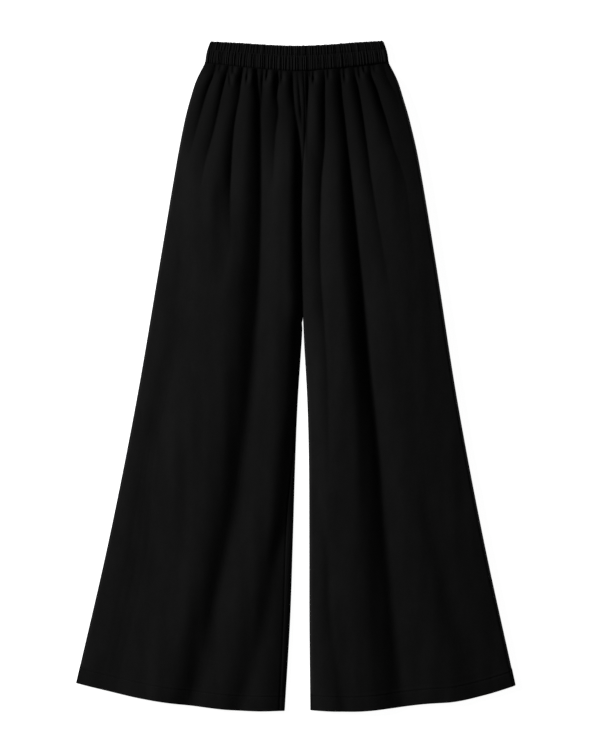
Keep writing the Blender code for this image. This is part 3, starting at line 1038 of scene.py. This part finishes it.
@dataclass
class Waistband:
    """One half of the waistband: jersey gathered into ribs over wide elastic.

    Attributes:
        face: front or back.
        outline: the edges of the trousers.
        wall: how thick the half is between its ribs.
        parting: level at which the two halves lie on each other.
        gap: clearance between them.
        ribs: how many ribs it has.
        sewn_at: share of the height at which the line of stitches runs.
        back_rise: how far the back stands above the front at the centre.
        upper_rib: height of the ribs above the stitches.
        lower_rib: height of the ribs below them.
        stray: how far a rib strays from its place, in ribs, with the waves across and down.
        swells: how much the ribs differ in height, with the waves across and down.
        finer: how many finer ribs there are to a rib, where they start and their share.
        flattened: share of a rib that the stitches press flat, and over what share of the height.
        rounds: share of the height over which the top edge and the foot are round.
        pinch: share of the wall that the stitches press in, and over what share of the height.
        end_height: share of the height that is left at the ends.
        corner: radius of the top corners, seen from the front.
        lean: how much the ends lean outwards near the top, as a power.
        points_per_rib: faces across a rib.
        cloth: thickness of the jersey.
        cut_width: width of the flat cut, before it is gathered.
        cut_depth: height of the flat cut, which is folded over the elastic.
        face_rows: faces down the face.
        inner_rows: faces back up where the halves lie on each other.
        line_length: length of the line of stitches.
        stitch_margin: share of the width that is left without stitches at each end.
        stitch_proud: how far the thread's middle stands off the face.
    """

    face: Face
    outline: Outline
    wall: float = 2.9
    parting: float = 4.0
    gap: float = 0.3
    ribs: float = 60.5
    sewn_at: float = 0.41
    back_rise: float = 0.7
    upper_rib: float = 0.62
    lower_rib: float = 0.75
    stray: tuple[float, float, float] = (0.35, 19.0, 0.2)
    swells: tuple[float, float, float] = (0.4, 22.0, 0.35)
    finer: tuple[float, float, float] = (1.61, 0.3, 0.3)
    flattened: tuple[float, float] = (0.55, 0.035)
    rounds: tuple[float, float] = (0.09, 0.13)
    pinch: tuple[float, float] = (0.3, 0.055)
    end_height: float = 0.3
    corner: float = 3.0
    lean: float = 1.8
    points_per_rib: int = 12
    cloth: float = 0.7
    cut_width: float = 372.0
    cut_depth: float = 76.0
    face_rows: int = 26
    inner_rows: int = 3
    line_length: float = 280.0
    stitch_margin: float = 0.012
    stitch_proud: float = 0.1

    @property
    def node(self) -> str:
        """Name of the CAD solid that this half stands for."""
        return f"waistband_{self.face.value}"

    @property
    def seed(self) -> int:
        """Picks this half's unevenness."""
        return 21 if self.face is Face.FRONT else 47

    def place(self, across: Array, fall: Array) -> tuple[Array, Array]:
        """Finds a place on the waistband.

        Args:
            across: share of the width, from the wearer's right.
            fall: share of the height, from the top.

        Returns:
            X and the distance down.
        """
        outline = self.outline
        rise = self.back_rise if self.face is Face.BACK else 0.0
        top = outline.band_top.at(across) - rise * np.sin(math.pi * across)
        bottom = outline.band_bottom.at(across)
        top_x = mixed(*outline.band_top_ends, across)
        low_x = mixed(*outline.band_bottom_ends, across)
        lean = 1 - (1 - np.clip(fall, 0, 1)) ** self.lean
        from_end = np.minimum(across, 1 - across) * (top_x.max() - top_x.min())
        cut_off = 1 - np.clip(from_end / self.corner, 0, 1)
        top = top + self.corner * (1 - np.sqrt(1 - cut_off**2)) * (1 - fall)
        return mixed(top_x, low_x, lean), mixed(top, bottom, fall)

    def rib(self, across: Array, fall: Array) -> Array:
        """Raises the ribs: close and sharp below the stitches, loose above them.

        Args:
            across: share of the width.
            fall: share of the height, from the top.

        Returns:
            Their height.
        """
        total = np.zeros(np.broadcast(across, fall).shape)
        lower = smooth((fall - self.sewn_at) / 0.08 + 0.5)
        (stray, wide, long), (uneven, broad, tall) = self.stray, self.swells
        for share, height, shift in ((1 - lower, self.upper_rib, 0), (lower, self.lower_rib, 3)):
            seed = self.seed + shift
            phase = self.ribs * across + stray * ripple(seed, 6, across * wide, fall * long)
            crest = (0.5 - 0.5 * np.cos(2 * math.pi * phase)) ** 1.2
            finer = 0.5 - 0.5 * np.cos(2 * math.pi * (self.finer[0] * phase + self.finer[1]))
            strength = 0.95 + uneven * ripple(seed + 1, 5, across * broad, fall * tall)
            ribs = (0.85 * crest + self.finer[2] * finer) * np.clip(strength, 0.4, 1.6)
            total = total + share * height * ribs
        return total * (1 - dip(fall - self.sewn_at, self.flattened))

    def swell(self, fall: Array) -> Array:
        """Shapes the wall as two puffed channels, round at both edges.

        Args:
            fall: share of the height, from the top.

        Returns:
            Share of the wall's thickness.
        """
        total = 1 - dip(fall - self.sewn_at, self.pinch)
        for edge, reach in zip((fall, 1 - fall), self.rounds):
            total = np.sqrt(np.clip(1 - (1 - np.clip(edge / reach, 0, 1)) ** 2, 0, 1)) * total
        return total

    def height(self, across: Array, fall: Array) -> Array:
        """Finds how far the face stands off the parting.

        Args:
            across: share of the width.
            fall: share of the height, from the top.

        Returns:
            The distance.
        """
        ends = np.clip(np.minimum(across, 1 - across) * self.ribs / 1.6, 0, 1)
        rounding = self.end_height + (1 - self.end_height) * np.sqrt(1 - (1 - ends) ** 2)
        body = self.wall * self.swell(fall)
        return (body + self.rib(across, fall) * np.clip(self.swell(fall) * 1.2, 0, 1)) * rounding

    def level(self, across: Array, fall: Array) -> Array:
        """Finds the face.

        Args:
            across: share of the width.
            fall: share of the height, from the top.

        Returns:
            Its level over the surface.
        """
        if self.face is Face.FRONT:
            return self.parting + self.gap + self.height(across, fall)
        return np.maximum(self.parting - self.height(across, fall), 0.0)

    def form(self, column: Array, row: Array) -> tuple[Array, Array]:
        """Goes round the half's section: down its face, and back up where it lies flat.

        Args:
            column: the points' columns, from the wearer's right.
            row: their rows, from the top.

        Returns:
            Places in millimetres, and places in the flat cut.
        """
        across = column / self.columns
        down_face = np.clip(row / self.face_rows, 0, 1)
        eased = 0.5 - 0.5 * np.cos(math.pi * down_face)
        fall = 0.45 * down_face + 0.55 * eased
        inner = np.clip((row - self.face_rows) / self.inner_rows, 0, 1)
        fall = np.where(row > self.face_rows, 1 - inner, fall)
        x, down = self.place(across, fall)
        parting = self.parting + (self.gap if self.face is Face.FRONT else 0)
        z = np.where(row > self.face_rows, parting, self.level(across, fall))
        down = down - bell(fall / 0.08) * (self.rib(across, np.full(fall.shape, 0.15)) - 0.2)
        points = np.stack([x, 0.5 * self.outline.length - down, z], axis=1)
        cut_down = -(down_face + inner) * 0.5 * self.cut_depth
        return points, np.stack([(across - 0.5) * self.cut_width, cut_down], axis=1)

    def build(self) -> bpy.types.Object:
        """Makes the half as one closed casing.

        Returns:
            The piece.
        """
        self.columns = int(self.ribs * self.points_per_rib)
        rows = self.face_rows + self.inner_rows
        piece = grid_of(f"{self.node}_casing", self.columns, rows, self.form)
        if self.face is Face.BACK:
            piece.data.flip_normals()
        only(piece)
        bpy.ops.object.mode_set(mode="EDIT")
        bpy.ops.mesh.select_all(action="SELECT")
        bpy.ops.mesh.remove_doubles(threshold=0.00001)
        bpy.ops.object.mode_set(mode="OBJECT")
        thicken(piece, self.cloth)
        finish_mesh(piece)
        return piece

    def stitch_line(self, spacing: float) -> Array:
        """Follows the sewn line, on the face of the casing.

        Args:
            spacing: from one stitch to the next.

        Returns:
            Points, one where each stitch starts.
        """
        count = int(self.line_length / spacing)
        across = np.linspace(self.stitch_margin, 1 - self.stitch_margin, count)
        fall = np.full(count, self.sewn_at)
        x, down = self.place(across, fall)
        proud = self.stitch_proud if self.face is Face.FRONT else -self.stitch_proud
        z = self.level(across, fall) + proud
        return np.stack([x, 0.5 * self.outline.length - down, z], axis=1)


# ---- Stitches ----


@dataclass
class StitchRow:
    """A row of machine stitches, each a short round thread that sinks in at both ends.

    Attributes:
        name: name of the piece.
        line: points along the row, one where each stitch starts.
        thread: thickness of the thread.
        fill: share of the spacing that a stitch covers.
        lowest: how close to the surface a thread comes.
    """

    name: str
    line: Array
    thread: float = 0.4
    fill: float = 0.82
    lowest: float = 0.02

    def build(self) -> bpy.types.Object:
        """Models one stitch and copies it along the row, as one mesh.

        Returns:
            The piece.
        """
        bpy.ops.object.select_all(action="DESELECT")
        bpy.ops.mesh.primitive_uv_sphere_add(segments=6, ring_count=5, radius=0.5)
        piece = bpy.context.object
        piece.name = self.name
        pattern = piece.data
        places = np.empty(len(pattern.vertices) * 3)
        pattern.vertices.foreach_get("co", places)
        places = places.reshape(-1, 3)
        faces = [list(face.vertices) for face in pattern.polygons]
        starts, ends = self.line[:-1], self.line[1:]
        along = (ends - starts) * self.fill
        reach = np.linalg.norm(along, axis=1, keepdims=True)
        ahead = along / reach
        sideways = np.cross(ahead, np.array([0.0, 0.0, 1.0]))
        sideways = sideways / np.linalg.norm(sideways, axis=1, keepdims=True)
        upward = np.cross(sideways, ahead)
        middle = 0.5 * (starts + ends)
        copies = (
            middle[:, None, :]
            + places[None, :, 2:3] * along[:, None, :]
            + places[None, :, 0:1] * sideways[:, None, :] * self.thread
            + places[None, :, 1:2] * upward[:, None, :] * self.thread
        )
        copies[:, :, 2] = np.maximum(copies[:, :, 2], self.lowest)
        offsets = np.arange(len(starts)) * len(places)
        joined = [[k + first for k in face] for first in offsets for face in faces]
        mesh = bpy.data.meshes.new(self.name)
        mesh.from_pydata((copies.reshape(-1, 3) * MM).tolist(), [], joined)
        mesh.update()
        piece.data = mesh
        bpy.data.meshes.remove(pattern)
        finish_mesh(piece)
        return piece


# ---- Finishes ----


def linear(hex_colour: str) -> tuple[float, float, float, float]:
    """Turns an sRGB hex value to a linear colour.

    Args:
        hex_colour: six hex digits after a #.

    Returns:
        Red, green, blue and a full alpha.
    """
    parts = [int(hex_colour[k : k + 2], 16) / 255 for k in (1, 3, 5)]
    red, green, blue = (
        part / 12.92 if part <= 0.04045 else ((part + 0.055) / 1.055) ** 2.4 for part in parts
    )
    return red, green, blue, 1.0


def add_node(tree: bpy.types.NodeTree, kind: str, **settings: object) -> bpy.types.Node:
    """Adds a node to a tree.

    Args:
        tree: the node tree.
        kind: the node's type, without its ShaderNode prefix.
        settings: the node's own properties by name, and under inputs a dictionary of values, or
            of outputs to link from.

    Returns:
        The node.
    """
    node = tree.nodes.new(f"ShaderNode{kind}")
    inputs = settings.pop("inputs", {})
    for name, value in settings.items():
        setattr(node, name, value)
    for name, value in inputs.items():
        if isinstance(value, bpy.types.NodeSocket):
            tree.links.new(value, node.inputs[name])
        else:
            node.inputs[name].default_value = value
    return node


def empty_material(name: str) -> tuple[bpy.types.Material, bpy.types.NodeTree]:
    """Makes a material without nodes.

    Args:
        name: the material's name.

    Returns:
        The material and its node tree.
    """
    material = bpy.data.materials.new(name)
    material.use_nodes = True
    material.node_tree.nodes.clear()
    return material, material.node_tree


@dataclass(frozen=True)
class BrushedJersey:
    """Black single jersey with a brushed face: matt, with a soft nap that lies in patches.

    The short nap scatters light, so there is hardly any gloss. Where it lies the other way the
    black reads a shade lighter, in soft patches of a few millimetres to a few centimetres. The
    knit's wales are finer than the view shows, so they are drawn a little coarse.

    Attributes:
        name: the material's name.
        black: colour of the cloth.
        napped: colour where the nap lies towards the light.
        pressed: darker copies of those colours, painted shade among the waist's gathers.
        gathers: from which Y to which Y, in millimetres, the painted shade comes in.
        patch: width of a patch of nap.
        stretch: how many times longer than wide a patch is.
        fleck: size of the nap's own grain.
        fleck_share: how much of the unevenness is that grain, and not patches.
        nap_range: from what to what the unevenness turns the black to the napped shade.
        wale: distance from one wale of the knit to the next.
        roughness: of the face.
        gloss: specular level of the fibres.
        nap_height: how far the grain stands up.
        wale_height: how far a wale stands up.
    """

    name: str = "brushed black jersey"
    black: str = "#111111"
    napped: str = "#161616"
    # painted shade: darker copies of black and napped, for the shade among the waist's gathers
    pressed: tuple[str, str] = ("#040404", "#060606")
    gathers: tuple[float, float] = (268.0, 478.0)
    patch: float = 20.0
    stretch: float = 2.6
    fleck: float = 3.2
    fleck_share: float = 0.38
    nap_range: tuple[float, float] = (0.36, 0.66)
    wale: float = 1.4
    roughness: float = 0.85
    gloss: float = 0.12
    nap_height: float = 0.08
    wale_height: float = 0.05

    def build(self) -> bpy.types.Material:
        """Makes the material.

        Returns:
            The material, ready to be given to a piece.
        """
        material, tree = empty_material(self.name)
        place = add_node(tree, "TexCoord")
        lengthwise = add_node(
            tree, "Mapping",
            inputs={"Vector": place.outputs["Object"], "Scale": (1.0, 1 / self.stretch, 1.0)},
        )
        patches = add_node(
            tree, "TexNoise",
            inputs={
                "Vector": lengthwise.outputs["Vector"], "Scale": 1 / (self.patch * MM),
                "Detail": 3.0, "Roughness": 0.6,
            },
        )
        flecks = add_node(
            tree, "TexNoise",
            inputs={
                "Vector": place.outputs["Object"], "Scale": 1 / (self.fleck * MM),
                "Detail": 2.0, "Roughness": 0.65,
            },
        )
        both = add_node(
            tree, "Mix", data_type="FLOAT",
            inputs={
                "Factor": self.fleck_share, "A": patches.outputs["Fac"],
                "B": flecks.outputs["Fac"],
            },
        )
        nap = add_node(
            tree, "MapRange", interpolation_type="SMOOTHSTEP",
            inputs={
                "Value": both.outputs["Result"], "From Min": self.nap_range[0],
                "From Max": self.nap_range[1],
            },
        )
        # The cloth's own colour, and a darker copy of it that is painted shade.
        loose, pressed = (
            add_node(
                tree, "Mix", data_type="RGBA",
                inputs={"Factor": nap.outputs["Result"], "A": linear(low), "B": linear(high)},
            )
            for low, high in ((self.black, self.napped), self.pressed)
        )
        parts = add_node(tree, "SeparateXYZ", inputs={"Vector": place.outputs["Object"]})
        waistward = add_node(
            tree, "MapRange", interpolation_type="SMOOTHSTEP",
            inputs={
                "Value": parts.outputs["Y"], "From Min": self.gathers[0] * MM,
                "From Max": self.gathers[1] * MM,
            },
        )
        # Painted shade: the colour darkens from gathers[0] to gathers[1] in Y, towards the waist.
        colour = add_node(
            tree, "Mix", data_type="RGBA",
            inputs={
                "Factor": waistward.outputs["Result"],
                "A": loose.outputs["Result"], "B": pressed.outputs["Result"],
            },
        )
        wales = add_node(
            tree, "TexWave", wave_type="BANDS", bands_direction="X", wave_profile="SIN",
            inputs={
                "Vector": place.outputs["UV"],
                "Scale": 2 * math.pi / (20 * self.wale * MM),
                "Distortion": 0.6, "Detail": 1.0, "Detail Scale": 3.0,
            },
        )
        ribbed = add_node(
            tree, "Bump",
            inputs={
                "Height": wales.outputs["Fac"], "Strength": 1.0,
                "Distance": self.wale_height * MM,
            },
        )
        napped = add_node(
            tree, "Bump",
            inputs={
                "Height": flecks.outputs["Fac"], "Strength": 1.0,
                "Distance": self.nap_height * MM, "Normal": ribbed.outputs["Normal"],
            },
        )
        face = add_node(
            tree, "BsdfPrincipled",
            inputs={
                "Base Color": colour.outputs["Result"], "Roughness": self.roughness,
                "Specular IOR Level": self.gloss, "Normal": napped.outputs["Normal"],
            },
        )
        add_node(tree, "OutputMaterial", inputs={"Surface": face.outputs["BSDF"]})
        return material


@dataclass(frozen=True)
class SewingThread:
    """Black spun polyester thread: twisted, and a little glossier than the jersey.

    Attributes:
        name: the material's name.
        black: colour of the thread.
        roughness: of its surface.
        gloss: its specular level.
        twist: size of the twist's strands, in millimetres.
    """

    name: str = "black sewing thread"
    black: str = "#161617"
    roughness: float = 0.55
    gloss: float = 0.35
    twist: float = 0.5

    def build(self) -> bpy.types.Material:
        """Makes the material.

        Returns:
            The material, ready to be given to a piece.
        """
        material, tree = empty_material(self.name)
        place = add_node(tree, "TexCoord")
        strands = add_node(
            tree, "TexNoise",
            inputs={
                "Vector": place.outputs["Object"], "Scale": 1 / (self.twist * MM), "Detail": 1.0,
            },
        )
        bump = add_node(
            tree, "Bump",
            inputs={"Height": strands.outputs["Fac"], "Strength": 0.6, "Distance": 0.1 * MM},
        )
        face = add_node(
            tree, "BsdfPrincipled",
            inputs={
                "Base Color": linear(self.black), "Roughness": self.roughness,
                "Specular IOR Level": self.gloss, "Normal": bump.outputs["Normal"],
            },
        )
        add_node(tree, "OutputMaterial", inputs={"Surface": face.outputs["BSDF"]})
        return material


@dataclass(frozen=True)
class PaleFloor:
    """Plain white studio paper, which glows so that it stays white round the trousers.

    Attributes:
        name: the material's name.
        white: colour of the paper.
        glow: strength of its own light.
    """

    name: str = "white studio paper"
    white: str = "#f4f4f4"
    glow: float = 0.97

    def build(self) -> bpy.types.Material:
        """Makes the material.

        Returns:
            The material, ready to be given to a piece.
        """
        material, tree = empty_material(self.name)
        face = add_node(
            tree, "BsdfPrincipled",
            inputs={
                "Base Color": linear(self.white), "Roughness": 0.9, "Specular IOR Level": 0.2,
                "Emission Color": linear("#ffffff"), "Emission Strength": self.glow,
            },
        )
        add_node(tree, "OutputMaterial", inputs={"Surface": face.outputs["BSDF"]})
        return material


# ---- Studio ----


@dataclass
class Studio:
    """A white floor, one soft light low on the left, a weak fill, and a camera straight above.

    Attributes:
        view_height: how much of the floor the camera takes in, from top to bottom, in metres.
        view_centre: where the middle of the view is.
        camera_height: height of the camera.
        camera_reach: how far the camera sees.
        sensor: size of the camera's sensor in millimetres.
        key_place: where the main light is.
        key_size: width of the main light.
        key_power: its power in watts.
        fill_place: where the weak light from above is.
        fill_size: its width.
        fill_power: its power in watts.
        surround: strength of the light from all round.
        floor_size: width of the floor.
    """

    view_height: float = 1.166
    view_centre: tuple[float, float] = (0.0068, 0.0008)
    camera_height: float = 3.5
    camera_reach: float = 60.0
    sensor: float = 36.0
    key_place: tuple[float, float, float] = (-3.7, 1.1, 1.4)
    key_size: float = 0.8
    key_power: float = 205.0
    fill_place: tuple[float, float, float] = (0.4, 0.3, 3.2)
    fill_size: float = 2.0
    fill_power: float = 0.6
    surround: float = 0.015
    floor_size: float = 24.0

    def add_light(
        self, name: str, place: tuple[float, float, float], size: float, power: float
    ) -> None:
        """Adds a square soft light that faces the trousers.

        Args:
            name: the light's name.
            place: where it is.
            size: its width.
            power: its power in watts.
        """
        bpy.ops.object.select_all(action="DESELECT")
        bpy.ops.object.light_add(type="AREA", location=place)
        light = bpy.context.object
        light.name = name
        light.data.shape = "SQUARE"
        light.data.size = size
        light.data.energy = power
        light.rotation_euler = (-Vector(place)).to_track_quat("-Z", "Y").to_euler()

    def add_camera(self) -> None:
        """Adds the camera, straight above the trousers."""
        bpy.ops.object.select_all(action="DESELECT")
        bpy.ops.object.camera_add(location=(*self.view_centre, self.camera_height))
        camera = bpy.context.object
        camera.name = "camera"
        camera.data.sensor_width = self.sensor
        camera.data.lens = self.sensor * self.camera_height / self.view_height
        camera.data.clip_end = self.camera_reach
        bpy.context.scene.camera = camera

    def build(self) -> None:
        """Makes the floor, the lights and the camera."""
        bpy.ops.object.select_all(action="DESELECT")
        bpy.ops.mesh.primitive_plane_add(size=self.floor_size, location=(0, 0, 0))
        floor = bpy.context.object
        floor.name = "floor"
        floor.data.materials.append(PaleFloor().build())
        self.add_light("key", self.key_place, self.key_size, self.key_power)
        self.add_light("fill", self.fill_place, self.fill_size, self.fill_power)
        world = bpy.data.worlds.new("surround")
        world.use_nodes = True
        world.node_tree.nodes.clear()
        glow = add_node(
            world.node_tree, "Background",
            inputs={"Color": linear("#ffffff"), "Strength": self.surround},
        )
        add_node(world.node_tree, "OutputWorld", inputs={"Surface": glow.outputs["Background"]})
        bpy.context.scene.world = world
        bpy.context.scene.view_settings.view_transform = "Standard"
        self.add_camera()


# ---- The trousers ----


class Slot(Enum):
    """Material slots of the record."""

    JERSEY = "jersey"
    CASING = "waistband_casing"


@dataclass
class Trousers:
    """The finished trousers: four leg panels, two waistband halves and their stitches.

    Attributes:
        outline: the edges of the trousers.
        front_steps: how far down the front panels' rows change their spacing, with the spacing.
        back_steps: the same for the back panels.
        front_columns: faces across a front panel.
        back_columns: faces across a back panel.
        stitch: from one stitch to the next.
    """

    outline: Outline = field(default_factory=Outline)
    front_steps: Steps = ((3, 0.7), (60, 1.3), (300, 2.6), (960, 5.0))
    back_steps: Steps = ((3, 1.0), (60, 2.5), (300, 5.0), (960, 9.0))
    front_columns: int = 154
    back_columns: int = 104
    stitch: float = 3.3

    def dress(
        self, piece: bpy.types.Object, material: bpy.types.Material
    ) -> bpy.types.Object:
        """Gives a piece its finish and the body it goes with.

        Args:
            piece: the piece.
            material: its finish.

        Returns:
            The piece.
        """
        piece.data.materials.clear()
        piece.data.materials.append(material)
        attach(piece, "root")
        LOG.info("%s: %d faces", piece.name, len(piece.data.polygons))
        return piece

    def build(self) -> None:
        """Builds every piece, back ones first, and says what each one is."""
        # Both finishes carry painted shade: the jersey darkens towards the waist, and the
        # waistband's casing is painted darker over its whole height.
        jersey, thread = BrushedJersey().build(), SewingThread().build()
        casing = BrushedJersey(
            name="brushed black jersey, ribbed by elastic",
            pressed=("#090909", "#0c0c0c"), gathers=(380.0, 474.0),
        ).build()
        drape = Drape(self.outline)
        for face in (Face.BACK, Face.FRONT):
            for side in Side:
                steps = self.front_steps if face is Face.FRONT else self.back_steps
                columns = self.front_columns if face is Face.FRONT else self.back_columns
                panel = LegPanel(face, side, self.outline, drape, columns, steps)
                piece = self.dress(panel.build(), jersey)
                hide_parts(panel.node)
                row = StitchRow(f"{panel.node}_hem_stitches", panel.hem_line(self.stitch))
                stitches = self.dress(row.build(), thread)
            band = Waistband(face, self.outline)
            piece = self.dress(band.build(), casing)
            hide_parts(band.node)
            row = StitchRow(f"{band.node}_stitches", band.stitch_line(self.stitch))
            stitches = self.dress(row.build(), thread)


def corners(box: tuple[Vector, Vector]) -> list[list[float]]:
    """Turns a box's two corners to plain lists."""
    return [list(corner) for corner in box]


def main() -> None:
    """Builds the trousers and the studio."""
    logging.basicConfig(level=logging.INFO, format="%(name)s: %(message)s")
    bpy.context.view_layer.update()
    Trousers().build()
    Studio().build()


if __name__ == "__main__":
    main()
